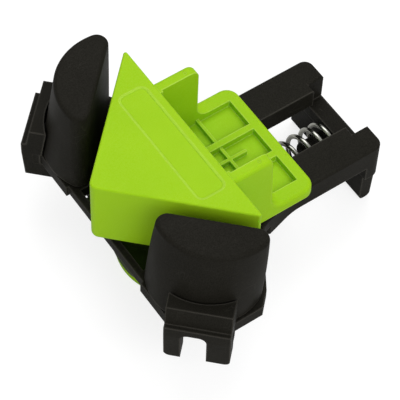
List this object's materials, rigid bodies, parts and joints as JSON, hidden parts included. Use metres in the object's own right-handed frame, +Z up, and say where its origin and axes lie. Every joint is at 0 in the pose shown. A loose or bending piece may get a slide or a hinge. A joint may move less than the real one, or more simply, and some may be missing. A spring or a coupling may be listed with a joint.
{
  "type": "spring-loaded corner clamp",
  "caption": "Right-angle corner clamp: black frame with round-backed swivel jaws and a green spring-loaded sliding head.",
  "frame": {"origin": "centre of the foot disc's underside, on the surface the clamp stands on", "axes": "+Z up; +X from the head's apex towards the palm plate, the way the slider moves back; the clamp is symmetric across the XZ plane"},
  "size_m": [0.1195, 0.1338, 0.0744],
  "materials": {
    "black_plastic": "black glass-filled nylon, fine moulded grain",
    "green_plastic": "lime green moulded plastic, satin",
    "screw_steel": "zinc-plated steel",
    "washer_plastic": "dark nylon",
    "spring_steel": "bright spring steel wire"
  },
  "bodies": {
    "frame": {"frame": "black_plastic", "jaw_seat_left": "black_plastic", "jaw_seat_right": "black_plastic", "jaw_pin_left": "screw_steel", "jaw_pin_right": "screw_steel", "jaw_washer_left": "washer_plastic", "jaw_washer_right": "washer_plastic", "seat_screw_left_near": "screw_steel", "seat_screw_right_near": "screw_steel", "seat_screw_left_far": "screw_steel", "seat_screw_right_far": "screw_steel", "spring_guide": "black_plastic", "guide_screw": "screw_steel", "spring": "spring_steel"},
    "slider": {"slider_head": "green_plastic", "slider_body": "green_plastic", "foot_disc": "green_plastic", "head_screw_left_front": "screw_steel", "head_screw_right_front": "screw_steel", "head_screw_left_rear": "screw_steel", "head_screw_right_rear": "screw_steel", "foot_screw_front": "screw_steel", "foot_screw_rear": "screw_steel"},
    "jaw_left": {"jaw_left": "black_plastic"},
    "jaw_right": {"jaw_right": "black_plastic"}
  },
  "joints": [
    {"name": "slider_slide", "type": "slide", "parent": "frame", "child": "slider", "axis": [1, 0, 0], "range_m": [0, 0.024], "stiffness_N_per_m": 900, "springref_m": -0.006, "deforming": ["spring"]},
    {"name": "jaw_left_swivel", "type": "hinge", "parent": "frame", "child": "jaw_left", "pos_m": [-0.01829, 0.04434, 0.05], "axis": [0, 0, 1], "range_deg": [-3, 3]},
    {"name": "jaw_right_swivel", "type": "hinge", "parent": "frame", "child": "jaw_right", "pos_m": [-0.01829, -0.04434, 0.05], "axis": [0, 0, 1], "range_deg": [-3, 3]}
  ]
}
